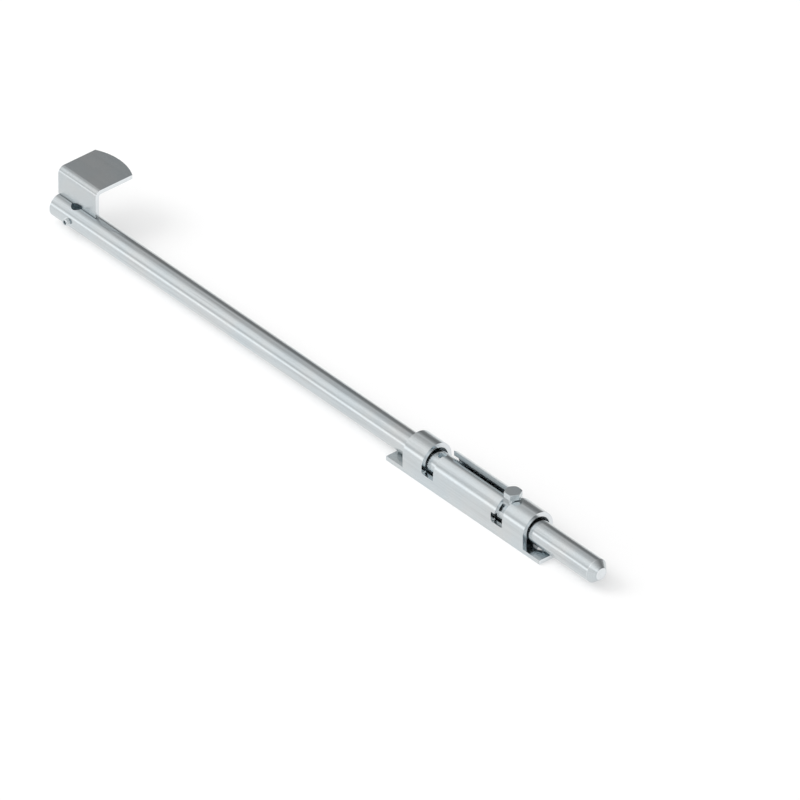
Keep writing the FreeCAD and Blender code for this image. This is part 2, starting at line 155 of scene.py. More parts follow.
world = bpy.data.worlds.new("studio")
bpy.context.scene.world = world
add = empty_tree(world)
calculate = calculator(add)
direction = add("ShaderNodeTexCoord").outputs["Generated"]
split = add("ShaderNodeSeparateXYZ", {"Vector": direction}).outputs
towards_front = calculate("MULTIPLY", split["Y"], -1.0)
turn = calculate("DIVIDE", calculate("ARCTAN2", towards_front, split["Z"]), 2 * math.pi)
turn = calculate("ADD", turn, 0.5)
to_the_right = add("ShaderNodeMapRange", {
    "Value": split["X"], "From Min": LEFT_ENDS, "From Max": RIGHT_STARTS,
}, interpolation_type="SMOOTHSTEP").outputs["Result"]
room = add("ShaderNodeMixRGB", {
    "Fac": to_the_right,
    "Color1": room_wall(add, turn, LEFT_PANELS),
    "Color2": room_wall(add, turn, RIGHT_PANELS),
}).outputs["Color"]
light_path = add("ShaderNodeLightPath").outputs
surroundings = add("ShaderNodeMixRGB", {
    "Fac": light_path["Is Camera Ray"], "Color1": room, "Color2": WHITE,
}).outputs["Color"]
studio_light = add("ShaderNodeBackground", {"Color": surroundings, "Strength": 1.0}).outputs[0]
add("ShaderNodeOutputWorld", {"Surface": studio_light})
bpy.context.scene.cycles.glossy_bounces = MIRRORINGS

FLOOR_HALF = 6.0
FLOOR_DROP = 0.0002       # clear of the plate's back face
FLOOR_GREY = (0.62, 0.62, 0.62, 1)
FLOOR_LIFT = 0.42         # brings the floor up to white where it is looked at or mirrored
floor_mesh = bpy.data.meshes.new("floor")
floor_mesh.from_pydata(
    [(-FLOOR_HALF, -FLOOR_HALF, -FLOOR_DROP), (FLOOR_HALF, -FLOOR_HALF, -FLOOR_DROP),
     (FLOOR_HALF, FLOOR_HALF, -FLOOR_DROP), (-FLOOR_HALF, FLOOR_HALF, -FLOOR_DROP)],
    [], [(0, 1, 2, 3)],
)
floor = bpy.data.objects.new("floor", floor_mesh)
bpy.context.scene.collection.objects.link(floor)
floor_finish = bpy.data.materials.new("pale_floor")
add = empty_tree(floor_finish)
calculate = calculator(add)
light_path = add("ShaderNodeLightPath").outputs
matt = add("ShaderNodeBsdfDiffuse", {"Color": FLOOR_GREY}).outputs[0]
lift = add("ShaderNodeEmission", {"Color": WHITE, "Strength": FLOOR_LIFT}).outputs[0]
lifted = add("ShaderNodeAddShader", {0: matt, 1: lift}).outputs[0]
looked_at = calculate("MAXIMUM", light_path["Is Camera Ray"], light_path["Is Glossy Ray"])
looked_at = calculate("MAXIMUM", looked_at, light_path["Is Transmission Ray"])
pale = add("ShaderNodeMixShader", {"Fac": looked_at, 1: matt, 2: lifted}).outputs[0]
add("ShaderNodeOutputMaterial", {"Surface": pale})
floor_mesh.materials.append(floor_finish)

SOFTBOX_PLACE = (-1.4, -1.3, 1.9)
SOFTBOX_SIDE = 1.4
SOFTBOX_WATTS = 20
softbox_data = bpy.data.lights.new("softbox", "AREA")
softbox_data.size = SOFTBOX_SIDE
softbox_data.energy = SOFTBOX_WATTS
softbox = bpy.data.objects.new("softbox", softbox_data)
softbox.location = SOFTBOX_PLACE
softbox.rotation_euler = Vector(SOFTBOX_PLACE).to_track_quat("Z", "Y").to_euler()
softbox.visible_glossy = False      # the panels stand for it where metal mirrors the room
bpy.context.scene.collection.objects.link(softbox)


# ---------------------------------------------------------------------------------------
# Base plate: 3 mm strip with a countersunk fixing hole near each end.
# Sheared and punched from cold-rolled steel, then zinc-plated and passivated.
# ---------------------------------------------------------------------------------------

MM = 0.001
SHEET = 3.0 * MM
SCREW_STATION = 60.0 * MM
SCREW_RADIUS = 2.75 * MM
COUNTERSINK_RADIUS = 5.5 * MM
EDGE = 0.14 * MM          # how much a sharp edge is broken
EDGE_STEPS = 2
SHARP = math.radians(32)  # faces that meet at more than this meet at an edge
OVERCUT = 5.0 * MM        # how far a cutting tool stands out of what it cuts
TOUCHING = 0.0001 * MM    # points as near as this are one
SLIVER = 0.001 * MM       # edges as short as this are closed up
HOLE_STEPS = 64


def new_object(name, mesh):
    """A mesh's object, linked to the scene."""
    item = bpy.data.objects.new(name, mesh)
    bpy.context.scene.collection.objects.link(item)
    return item


def outward(mesh):
    """Closes a mesh's seams, then turns its faces outwards."""
    shape = bmesh.new()
    shape.from_mesh(mesh)
    bmesh.ops.remove_doubles(shape, verts=shape.verts, dist=TOUCHING)
    bmesh.ops.recalc_face_normals(shape, faces=shape.faces)
    shape.to_mesh(mesh)
    shape.free()


def mesh_from(name, vertices, faces):
    """A closed mesh from points and faces."""
    mesh = bpy.data.meshes.new(name)
    mesh.from_pydata([tuple(v) for v in vertices], [], faces)
    outward(mesh)
    return mesh


AXES = {
    "X": lambda a, b, along: (along, a, b),
    "Y": lambda a, b, along: (a, along, b),
    "Z": lambda a, b, along: (a, b, along),
}


def prism(name, outline, axis, low, high):
    """A closed solid: an outline across an axis, run from low to high along it."""
    place = AXES[axis]
    count = len(outline)
    vertices = [place(a, b, low) for a, b in outline] + [place(a, b, high) for a, b in outline]
    faces = [tuple(range(count)), tuple(range(2 * count - 1, count - 1, -1))]
    for index in range(count):
        after = (index + 1) % count
        faces.append((index, after, after + count, index + count))
    return mesh_from(name, vertices, faces)


def lathe(name, profile, axis, centre, steps):
    """A closed solid of revolution. Its profile's points are a radius and a place along
    the axis."""
    place = AXES[axis]
    vertices = []
    for radius, along in profile:
        for step in range(steps):
            turn = 2 * math.pi * step / steps
            offset = place(radius * math.cos(turn), radius * math.sin(turn), along)
            vertices.append(Vector(centre) + Vector(offset))
    rings = len(profile)
    faces = [tuple(range(steps)), tuple(range((rings - 1) * steps, rings * steps))]
    for ring in range(rings - 1):
        for step in range(steps):
            after = (step + 1) % steps
            first, second = ring * steps, (ring + 1) * steps
            faces.append((first + step, first + after, second + after, second + step))
    return mesh_from(name, vertices, faces)


def arc(centre, radius, start, end, steps):
    """Points on an arc between two angles in degrees, both ends included."""
    points = []
    for step in range(steps + 1):
        turn = math.radians(start + (end - start) * step / steps)
        points.append((centre[0] + radius * math.cos(turn), centre[1] + radius * math.sin(turn)))
    return points


def evaluated_mesh(item):
    """A plain mesh of an object, with its modifiers worked in."""
    bpy.context.view_layer.update()
    graph = bpy.context.evaluated_depsgraph_get()
    return bpy.data.meshes.new_from_object(item.evaluated_get(graph))


def combine(mesh, others, operation):
    """A mesh less others, joined to them or cut down to them."""
    base = new_object("base", mesh)
    helpers = [new_object("helper", other) for other in others]
    for helper in helpers:
        step = base.modifiers.new("step", "BOOLEAN")
        step.operation = operation
        step.solver = "EXACT"
        step.object = helper
    result = evaluated_mesh(base)
    for item in [base, *helpers]:
        bpy.data.objects.remove(item)
    return result


def break_edges(mesh, width):
    """The mesh with its sharp edges rounded a little."""
    item = new_object("edges", mesh)
    bevel = item.modifiers.new("edges", "BEVEL")
    bevel.width = width
    bevel.segments = EDGE_STEPS
    bevel.limit_method = "ANGLE"
    bevel.angle_limit = SHARP
    bevel.miter_outer = "MITER_ARC"
    result = evaluated_mesh(item)
    bpy.data.objects.remove(item)
    return result


GRAINS = {                # how often the grain changes in a metre, along X, Y and Z
    "along X": (14, 620, 620),
    "round X": (1900, 9, 9),
    "round Z": (9, 9, 1900),
}
CRYSTALS, CLOUDS, HANDLING = 1500, 38, 120       # changes in a metre
HAIRS = (35, 900, 900)
HAIRS_TILT = (0.5, 0.35, 0.7)
WORN = 0.5 * MM           # how far from an edge handling polishes it
EDGE_BRIGHTNESS, HAIR_BRIGHTNESS = 0.75, 0.5     # shares of the polished colour
EDGE_SMOOTHING = -0.06    # what wear, and what a bore, add to the roughness
BORE_DULLING = 0.25
SMOOTHEST = 0.08
BORE_BLEND = 0.1 * MM
PASSIVATED = [(0.28, (0.592, 0.647, 0.676)), (0.50, (0.616, 0.657, 0.675)),
              (0.72, (0.641, 0.659, 0.663))]
BORE_PAINTED_LIGHT = [(0.30, (0.76, 0.87, 0.92)), (0.70, (0.83, 0.90, 0.93))]   # painted light in a bore: lighter and bluer than the plate
CUT_FACE_HIGHLIGHT = (0.79, 0.82, 0.84, 1)        # painted highlight, on faces along X and at 45 degrees to Z
POLISHED = (0.80, 0.82, 0.83, 1)         # by handling


def zinc_plate(name, grain, roughness, tone=1.0, grain_depth=1.0, mottle=1.0,
               end_highlight=0.0, slant_highlight=0.0, bore=None, straight_walls=False):
    """Bright zinc plate over worked steel.

    The steel's grain shows through the plate as streaks. The clear blue passivation
    drifts from blue to faint straw, edges are polished bright by handling, and a few
    hair scratches cross the grain. Faces that face along X, such as sheared ends, and
    faces at 45 degrees to Z, such as sunk cones, are painted lighter: a painted highlight
    that stands in for the bright light they mirror. Nearer to the bolt's axis than a
    bore's radius, the plate is duller, and painted lighter and bluer: painted light that
    stands in for light reaching into the hole. A bore with straight walls is that wide
    all the way down.
    """
    finish = bpy.data.materials.new(name)
    add = empty_tree(finish)
    calculate = calculator(add)
    coordinates = add("ShaderNodeTexCoord").outputs
    place = coordinates["Object"]

    def noise(where, scale, detail, rough=0.55, distortion=0.0):
        return add("ShaderNodeTexNoise", {
            "Vector": where, "Scale": scale, "Detail": detail,
            "Roughness": rough, "Distortion": distortion,
        }).outputs["Fac"]

    def spread(value, low, high, to_low=0.0, to_high=1.0):
        return add("ShaderNodeMapRange", {
            "Value": value, "From Min": low, "From Max": high,
            "To Min": to_low, "To Max": to_high,
        }).outputs["Result"]

    def painted(under, over, share, blend="MIX"):
        return add("ShaderNodeMixRGB", {
            "Fac": share, "Color1": under, "Color2": over,
        }, blend_type=blend).outputs["Color"]

    drawn = add("ShaderNodeMapping", {"Vector": place, "Scale": GRAINS[grain]}).outputs[0]
    streaks = noise(drawn, 1.0, detail=5.0, rough=0.62)
    crystals = noise(place, CRYSTALS, detail=3.0, rough=0.6)
    clouds = noise(place, CLOUDS, detail=3.0)
    handling = noise(place, HANDLING, detail=6.0, rough=0.68, distortion=0.5)
    slanted = add("ShaderNodeMapping", {
        "Vector": place, "Rotation": HAIRS_TILT, "Scale": HAIRS,
    }).outputs[0]
    hairs = spread(noise(slanted, 1.0, detail=2.0, rough=0.5), 0.70, 0.735)
    hairs = calculate("MULTIPLY", hairs, spread(handling, 0.46, 0.60))

    # Edges show where a rounded surface's direction would differ from the real one's.
    rounded = add("ShaderNodeBevel", {"Radius": WORN}, samples=6).outputs["Normal"]
    straight = add("ShaderNodeNewGeometry").outputs["Normal"]
    agreement = add("ShaderNodeVectorMath", {0: rounded, 1: straight}, operation="DOT_PRODUCT")
    edges = spread(agreement.outputs["Value"], 0.995, 0.86)
    edges = calculate("MULTIPLY", edges, spread(handling, 0.30, 0.62, 0.35, 1.0))

    # Colour: passivation, then the grain and crystals, the painted highlight on cut
    # faces, the painted light in the bore, then the bright wear.
    passivated = [(stop, tuple(tone * part for part in tint)) for stop, tint in PASSIVATED]
    grained = [(0.26, 1 - 0.10 * grain_depth), (0.50, 1 - 0.02 * grain_depth), (0.78, 1.0)]
    speckled = [(0.30, 1 - 0.09 * mottle), (0.70, 1.0)]
    colour = ramp(add, clouds, passivated)
    colour = painted(colour, ramp(add, streaks, grained), 1.0, "MULTIPLY")
    colour = painted(colour, ramp(add, crystals, speckled), 1.0, "MULTIPLY")
    # Painted highlight: faces along X and faces at 45 degrees to Z are painted lighter, standing
    # in for the bright light they mirror.
    facing = add("ShaderNodeSeparateXYZ", {"Vector": coordinates["Normal"]}).outputs
    endwise = calculate("ABSOLUTE", facing["X"])
    off_cone = calculate("SUBTRACT", facing["Z"], math.sin(math.radians(45)))
    off_cone = calculate("ABSOLUTE", off_cone)
    highlit_faces = calculate("MAXIMUM", spread(endwise, 0.90, 0.98, 0.0, end_highlight),
                     spread(off_cone, 0.12, 0.20, slant_highlight, 0.0))
    cut_highlight = calculate("MULTIPLY", highlit_faces, spread(handling, 0.30, 0.60, 0.82, 1.0))
    colour = painted(colour, CUT_FACE_HIGHLIGHT, cut_highlight)
    # Painted light: in a bore the colour is lighter and bluer, standing in for light reaching
    # into the hole.
    if bore:
        spot = add("ShaderNodeSeparateXYZ", {"Vector": place}).outputs
        up = calculate("SUBTRACT", spot["Z"], axis_z)
        if straight_walls:
            up = calculate("MAXIMUM", up, 0.0)
        off_axis = calculate("SQRT", calculate("ADD", calculate("POWER", spot["Y"], 2.0),
                                               calculate("POWER", up, 2.0)))
        inside = spread(off_axis, bore, bore + BORE_BLEND, 1.0, 0.0)
        colour = painted(colour, ramp(add, clouds, BORE_PAINTED_LIGHT), inside)
    bright = calculate("MAXIMUM", calculate("MULTIPLY", edges, EDGE_BRIGHTNESS),
                       calculate("MULTIPLY", hairs, HAIR_BRIGHTNESS))
    colour = painted(colour, POLISHED, bright)

    # Roughness: streaked and handled, lower at worn edges, higher in the bore.
    dullness = calculate(
        "ADD",
        spread(streaks, 0.25, 0.75, roughness - 0.03, roughness + 0.04),
        spread(handling, 0.35, 0.70, -0.02, 0.04),
    )
    dullness = calculate("ADD", dullness, calculate("MULTIPLY", edges, EDGE_SMOOTHING))
    dullness = calculate("MAXIMUM", dullness, SMOOTHEST)
    if bore:
        dullness = calculate("ADD", dullness, calculate("MULTIPLY", inside, BORE_DULLING))

    # Relief: crystals, then the grain combed over them, then the hair scratches.
    fine = add("ShaderNodeBump", {
        "Strength": 0.08 * mottle, "Distance": 0.04 * MM, "Height": crystals,
    }).outputs["Normal"]
    combed = add("ShaderNodeBump", {
        "Strength": 0.10 * grain_depth, "Distance": 0.08 * MM, "Height": streaks, "Normal": fine,
    }).outputs["Normal"]
    scratched = add("ShaderNodeBump", {
        "Strength": 0.25, "Distance": 0.02 * MM, "Height": hairs, "Normal": combed,
    }, invert=True).outputs["Normal"]
    metal = add("ShaderNodeBsdfPrincipled", {
        "Base Color": colour, "Metallic": 1.0, "Roughness": dullness, "Normal": scratched,
    }).outputs["BSDF"]
    add("ShaderNodeOutputMaterial", {"Surface": metal})
    return finish


def swept(mesh):
    """Closes up the slivers that cuts and bevels leave."""
    shape = bmesh.new()
    shape.from_mesh(mesh)
    bmesh.ops.remove_doubles(shape, verts=shape.verts, dist=SLIVER)
    shape.to_mesh(mesh)
    shape.free()


def shaded(mesh):
    """The mesh shaded smooth where it is round, its flats shaded flat up to their edges."""
    for face in mesh.polygons:
        face.use_smooth = True
        face.material_index = 0
    mesh.set_sharp_from_angle(angle=SHARP)
    item = new_object("shading", mesh)
    weighted = item.modifiers.new("shading", "WEIGHTED_NORMAL")
    weighted.keep_sharp = True
    result = evaluated_mesh(item)
    bpy.data.objects.remove(item)
    return result


def show(name, mesh, finish, body, node):
    """The finished piece, riding on its body in its node's place."""
    swept(mesh)
    mesh.materials.clear()
    mesh.materials.append(finish)
    mesh = shaded(mesh)
    mesh.name = name
    piece = new_object(name, mesh)
    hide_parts(node)
    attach(piece, body)


plate_low, plate_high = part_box("base_plate")
plate_outline = [
    (plate_low.x, plate_low.y), (plate_high.x, plate_low.y),
    (plate_high.x, plate_high.y), (plate_low.x, plate_high.y),
]
strip = prism("strip", plate_outline, "Z", plate_low.z, plate_high.z)
sink_depth = COUNTERSINK_RADIUS - SCREW_RADIUS
screw_profile = [
    (SCREW_RADIUS, -OVERCUT),
    (SCREW_RADIUS, SHEET - sink_depth),
    (COUNTERSINK_RADIUS, SHEET),
    (COUNTERSINK_RADIUS, SHEET + OVERCUT),
]
drills = [
    lathe("drill", screw_profile, "Z", (side * SCREW_STATION, 0, plate_low.z), HOLE_STEPS)
    for side in (-1, 1)
]
plate_mesh = break_edges(combine(strip, drills, "DIFFERENCE"), EDGE)
plate_finish = zinc_plate("zinc_on_strip", "along X", 0.18, end_highlight=1.0, slant_highlight=1.0)
show("base_plate_steel", plate_mesh, plate_finish, "housing", "base_plate")


# ---------------------------------------------------------------------------------------
# Tunnel: a strip of 3 mm steel, bent to an arch over the rod and welded along the
# plate's two edges, then zinc-plated with it. The H-shaped slot is punched before
# bending, and its front leg has a notch at the foot.
# ---------------------------------------------------------------------------------------

BOLT_RADIUS = 3.0 * MM
LONG_SLOT_GAP = 1.7 * MM
FRONT_SLOT_GAP = 0.65 * MM
REAR_SLOT_GAP = 2.4 * MM
SLOT_FLOOR_GAP = 0.3 * MM
SLOT_CORNER = 1.2 * MM
NOTCH_DEPTH = 3.2 * MM
TRAVEL = 66.0 * MM
ARCH_STEPS = 56
CORNER_STEPS = 8

tunnel_low, tunnel_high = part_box("tunnel")
outer_radius = tunnel_high.y
inner_radius = outer_radius - SHEET
arch_centre = (0, tunnel_high.z - outer_radius)


def arch_outline(radius, foot):
    """An upright arch in the YZ plane."""
    return [(radius, foot), *arc(arch_centre, radius, 0, 180, ARCH_STEPS), (-radius, foot)]


def foot_corner(x, z, way):
    """A rounded corner at the foot of a slot. Way is -1 for a left corner, 1 for a right."""
    centre = (x - way * SLOT_CORNER, z + SLOT_CORNER)
    start, end = (180, 270) if way < 0 else (270, 360)
    return arc(centre, SLOT_CORNER, start, end, CORNER_STEPS)


arch = prism("arch", arch_outline(outer_radius, tunnel_low.z), "X", tunnel_low.x, tunnel_high.x)
bore = prism(
    "bore", arch_outline(inner_radius, tunnel_low.z - OVERCUT), "X",
    tunnel_low.x - OVERCUT, tunnel_high.x + OVERCUT,
)
slot_floor = axis_z - BOLT_RADIUS - SLOT_FLOOR_GAP
slot_top = tunnel_high.z + OVERCUT
rear_middle, front_middle = -TRAVEL / 2, TRAVEL / 2
rear_half = BOLT_RADIUS + REAR_SLOT_GAP
front_half = BOLT_RADIUS + FRONT_SLOT_GAP
rear_leg = [
    (rear_middle - rear_half, slot_top),
    *foot_corner(rear_middle - rear_half, slot_floor, -1),
    *foot_corner(rear_middle + rear_half, slot_floor, 1),
    (rear_middle + rear_half, slot_top),
]
notch_left = front_middle - front_half - NOTCH_DEPTH
notch_top = axis_z + BOLT_RADIUS + SLOT_FLOOR_GAP
front_leg = [
    (front_middle - front_half, slot_top),
    (front_middle - front_half, notch_top),
    (notch_left, notch_top),
    *foot_corner(notch_left, slot_floor, -1),
    *foot_corner(front_middle + front_half, slot_floor, 1),
    (front_middle + front_half, slot_top),
]
half_slot = BOLT_RADIUS + LONG_SLOT_GAP
crown_slot = [
    (rear_middle, -half_slot), (front_middle, -half_slot),
    (front_middle, half_slot), (rear_middle, half_slot),
]
reach = outer_radius + OVERCUT
punches = [
    bore,
    prism("punch", rear_leg, "Y", -reach, reach),
    prism("punch", front_leg, "Y", -reach, reach),
    prism("punch", crown_slot, "Z", arch_centre[1], slot_top),
]
tunnel_mesh = break_edges(combine(arch, punches, "DIFFERENCE"), EDGE)
tunnel_finish = zinc_plate(
    "zinc_on_bent_sheet", "along X", 0.16, grain_depth=1.5,
    end_highlight=1.0, bore=inner_radius + EDGE, straight_walls=True,
)
show("tunnel_steel", tunnel_mesh, tunnel_finish, "housing", "tunnel")


# ---------------------------------------------------------------------------------------
# Rod: 16 mm cold drawn steel bar, zinc-plated. Its handle end is sawn, its edge broken,
# and drilled for the handle's tang, with an M5 thread from the front for the grub screw.
# Two M6 threads go right through it for the hex bolt, which fits in either.
# ---------------------------------------------------------------------------------------

END_BREAK = 0.4 * MM
END_TO_HANDLE = 17.6 * MM
TANG_HOLE_RADIUS = 4.0 * MM
MOUTH = 0.35 * MM         # countersink at the mouths of the drilled holes
BOLT_PITCH = 1.0 * MM
BOLT_CREST = 2.97 * MM
BOLT_ROOT = 2.40 * MM
GRUB_PITCH = 0.8 * MM
GRUB_CREST = 2.47 * MM
GRUB_ROOT = 2.00 * MM
THREAD_GAP = 0.09 * MM    # between a screw's thread and the tapped thread
END_STEP = 0.1 * MM       # a screw's end is this much under its thread's root
TAP_LEAD = 3.0 * MM       # how far under the bolt's foot its tap starts
BORE_SKIN = 0.42 * MM     # how deep in a hole its wall turns dull and takes the painted light
ROWS_A_PITCH = 8
STEPS_A_TURN = 40
ROOT_FLAT, CREST_FLAT = 0.2, 0.86        # shares of a flank's rise where its flats start
SEWING = 0.002 * MM       # joins each turn of a thread to the next
BAR_STEPS = 128


def thread_tree():
    """A node tree that rolls a closed screw thread, standing on the origin along +Z.

    A grid's rows run along the helix and its columns round the screw. Its radius follows
    a flat-topped thread form, kept under a chamfer at both ends, and its first and last
    rows close on the axis.
    """
    group = bpy.data.node_groups.new("rolled_thread", "GeometryNodeTree")
    for label, kind in (
        ("Root Radius", "NodeSocketFloat"), ("Crest Radius", "NodeSocketFloat"),
        ("Pitch", "NodeSocketFloat"), ("Length", "NodeSocketFloat"),
        ("End Radius", "NodeSocketFloat"), ("Rows A Pitch", "NodeSocketInt"),
        ("Steps A Turn", "NodeSocketInt"), ("Finish", "NodeSocketMaterial"),
    ):
        group.interface.new_socket(label, in_out="INPUT", socket_type=kind)
    group.interface.new_socket("Thread", in_out="OUTPUT", socket_type="NodeSocketGeometry")
    add = node_adder(group)
    calculate = calculator(add)
    given = add("NodeGroupInput").outputs
    pitch, length = given["Pitch"], given["Length"]

    # One pitch more than the screw's length, and a closing row at each end.
    turns = calculate("ADD", calculate("CEIL", calculate("DIVIDE", length, pitch)), 1.0)
    rows = calculate("ADD", calculate("MULTIPLY", turns, given["Rows A Pitch"]), 2.0)
    grid = add("GeometryNodeMeshGrid", {
        "Size X": 1.0, "Size Y": 1.0,
        "Vertices X": calculate("ADD", given["Steps A Turn"], 1.0),
        "Vertices Y": calculate("ADD", rows, 1.0),
    })
    position = add("GeometryNodeInputPosition").outputs[0]
    spot = add("ShaderNodeSeparateXYZ", {"Vector": position}).outputs
    around = calculate("ADD", spot["X"], 0.5)
    row = calculate("MULTIPLY", calculate("ADD", spot["Y"], 0.5), rows)
    wound = calculate("DIVIDE", calculate("SUBTRACT", row, 1.0), given["Rows A Pitch"])
    wound = calculate("ADD", calculate("SUBTRACT", wound, 1.0), around)
    height = calculate("MULTIPLY", wound, pitch)
    height = calculate("MINIMUM", calculate("MAXIMUM", height, 0.0), length)

    # Thread form: 0 at the root, 1 at the crest, with a flat at each.
    climbed = calculate("DIVIDE", height, pitch)
    phase = calculate("FRACT", calculate("ADD", climbed, calculate("SUBTRACT", 2.0, around)))
    rise = calculate("PINGPONG", calculate("MULTIPLY", phase, 2.0), 1.0)
    form = add("ShaderNodeMapRange", {
        "Value": rise, "From Min": ROOT_FLAT, "From Max": CREST_FLAT,
    }).outputs["Result"]
    depth = calculate("SUBTRACT", given["Crest Radius"], given["Root Radius"])
    radius = calculate("ADD", given["Root Radius"], calculate("MULTIPLY", form, depth))
    from_end = calculate("MINIMUM", height, calculate("SUBTRACT", length, height))
    chamfer = calculate("ADD", given["End Radius"], from_end)
    radius = calculate("MINIMUM", radius, chamfer)
    open_row = calculate("MULTIPLY", calculate("GREATER_THAN", row, 0.5),
                         calculate("GREATER_THAN", calculate("SUBTRACT", rows, 0.5), row))
    radius = calculate("MULTIPLY", radius, open_row)
    angle = calculate("MULTIPLY", around, 2 * math.pi)
    surface = add("ShaderNodeCombineXYZ", {
        "X": calculate("MULTIPLY", radius, calculate("COSINE", angle)),
        "Y": calculate("MULTIPLY", radius, calculate("SINE", angle)),
        "Z": height,
    }).outputs[0]
    made = add("GeometryNodeSetPosition", {"Geometry": grid.outputs["Mesh"], "Position": surface})
    made = add("GeometryNodeMergeByDistance", {"Geometry": made.outputs[0], "Distance": SEWING})
    made = add("GeometryNodeRealizeInstances", {"Geometry": made.outputs[0]})
    made = add("GeometryNodeSetMaterial", {
        "Geometry": made.outputs[0], "Material": given["Finish"],
    })
    add("NodeGroupOutput", {"Thread": made.outputs[0]})
    return group


rolled_thread = thread_tree()


def thread(root, crest, pitch, length, finish, place):
    """A closed length of screw thread, moved to its place. It is a screw's, or a tap's."""
    holder = new_object("holder", bpy.data.meshes.new("holder"))
    modifier = holder.modifiers.new("thread", "NODES")
    modifier.node_group = rolled_thread
    values = {
        "Root Radius": root, "Crest Radius": crest, "End Radius": root - END_STEP,
        "Pitch": pitch, "Length": length, "Rows A Pitch": ROWS_A_PITCH,
        "Steps A Turn": STEPS_A_TURN, "Finish": finish,
    }
    for item in rolled_thread.interface.items_tree:
        if item.name in values:
            modifier[item.identifier] = values[item.name]
    mesh = evaluated_mesh(holder)
    bpy.data.objects.remove(holder)
    mesh.transform(place)
    outward(mesh)
    return mesh


rod_low, rod_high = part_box("rod")
bolt_low, bolt_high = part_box("hex_bolt")
grub_low, grub_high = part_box("grub_screw")
rod_radius = (rod_high.z - rod_low.z) / 2
handle_station = rod_low.x + END_TO_HANDLE
axis_point = (0, axis_y, axis_z)
bar_profile = [
    (rod_radius - END_BREAK, rod_low.x),
    (rod_radius, rod_low.x + END_BREAK),
    (rod_radius, rod_high.x),
]
bar = lathe("bar", bar_profile, "X", axis_point, BAR_STEPS)
rod_finish = zinc_plate(
    "zinc_on_drawn_bar", "along X", 0.16, grain_depth=2.2,
    end_highlight=1.0, bore=rod_radius - BORE_SKIN,
)


def drill(radius, station, axis, low, high):
    """A drill across the rod, whose ends widen to break the hole's mouths."""
    profile = [
        (radius + MOUTH + OVERCUT, low - OVERCUT), (radius, low + MOUTH),
        (radius, high - MOUTH), (radius + MOUTH + OVERCUT, high + OVERCUT),
    ]
    return lathe("drill", profile, axis, (station, axis_y, axis_z), HOLE_STEPS)


bolt_way = Matrix.Translation((front_middle, axis_y, bolt_low.z - TAP_LEAD))
spare_way = Matrix.Translation((rear_middle, axis_y, bolt_low.z - TAP_LEAD))
grub_turn = Matrix.Rotation(math.radians(90), 4, "X")
grub_way = Matrix.Translation((handle_station, grub_high.y + GRUB_PITCH, axis_z)) @ grub_turn
bolt_tap = (BOLT_ROOT + THREAD_GAP, BOLT_CREST + THREAD_GAP, BOLT_PITCH)
grub_tap = (GRUB_ROOT + THREAD_GAP, GRUB_CREST + THREAD_GAP, GRUB_PITCH)
rod_cuts = [
    drill(TANG_HOLE_RADIUS, handle_station, "Z", -rod_radius, rod_radius),
    thread(*bolt_tap, 2 * rod_radius + OVERCUT, rod_finish, bolt_way),
    thread(*bolt_tap, 2 * rod_radius + OVERCUT, rod_finish, spare_way),
    thread(*grub_tap, rod_radius + OVERCUT, rod_finish, grub_way),
]
rod_mesh = combine(bar, rod_cuts, "DIFFERENCE")
show("rod_bar", rod_mesh, rod_finish, "rod", "rod")


# ---------------------------------------------------------------------------------------
# Rod tip: the long chamfer turned on the steel bar's leading end, so that it finds its
# keeper. Its turning marks run round it, and the end is faced flat.
# ---------------------------------------------------------------------------------------

TIP_FACE_RADIUS = 4.0 * MM
TIP_EDGE = 0.2 * MM
SEAM = 0.01 * MM          # keeps the turning rod clear of the tip, which doesn't turn

cone_profile = [
    (rod_radius, tip_low.x + SEAM),
    (TIP_FACE_RADIUS + TIP_EDGE, tip_high.x - TIP_EDGE),
    (TIP_FACE_RADIUS - TIP_EDGE, tip_high.x),
]
tip_mesh = lathe("tip", cone_profile, "X", axis_point, BAR_STEPS)
tip_finish = zinc_plate("zinc_on_turned_end", "round X", 0.15, grain_depth=1.2, end_highlight=1.0)
show("rod_tip_turned", tip_mesh, tip_finish, "rod_tip", "rod_tip")


# ---------------------------------------------------------------------------------------
# Handle: one blank of 3 mm sheet steel, bent once and zinc-plated. The tang below its
# flange drops into the rod's hole, and the finger plate's far edge is bowed.
# ---------------------------------------------------------------------------------------

HANDLE_HEIGHT = 19.0 * MM
ARC_RISE = 4.5 * MM
BEND_RADIUS = 1.5 * MM
TANG_HALF = 3.0 * MM
BLADE_SPARE = 1.0 * MM    # how far the bowed blade reaches past the blank's sides
INSIDE_BEND_STEPS, OUTSIDE_BEND_STEPS, BOW_STEPS = 12, 20, 28

handle_low, handle_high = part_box("handle")
flange_foot = handle_high.z - HANDLE_HEIGHT
face_y = handle_low.y
under = handle_high.z - SHEET
outer_bend = BEND_RADIUS + SHEET
bend_centre = (face_y + outer_bend, under - BEND_RADIUS)
angle_outline = [
    (face_y, flange_foot),
    (face_y + SHEET, flange_foot),
    *arc(bend_centre, BEND_RADIUS, 180, 90, INSIDE_BEND_STEPS),
    (handle_high.y, under),
    (handle_high.y, handle_high.z),
    *arc(bend_centre, outer_bend, 90, 180, OUTSIDE_BEND_STEPS),
]
angle = prism("angle", angle_outline, "X", handle_low.x, handle_high.x)
half_width = (handle_high.x - handle_low.x) / 2
bow_radius = (half_width ** 2 + ARC_RISE ** 2) / (2 * ARC_RISE)
bow_swing = math.asin(half_width / bow_radius)
bow_degrees = math.degrees(bow_swing)
bow_centre = (handle_station, handle_high.y - bow_radius)
blade_heel = handle_high.y - ARC_RISE - BLADE_SPARE * math.tan(bow_swing)
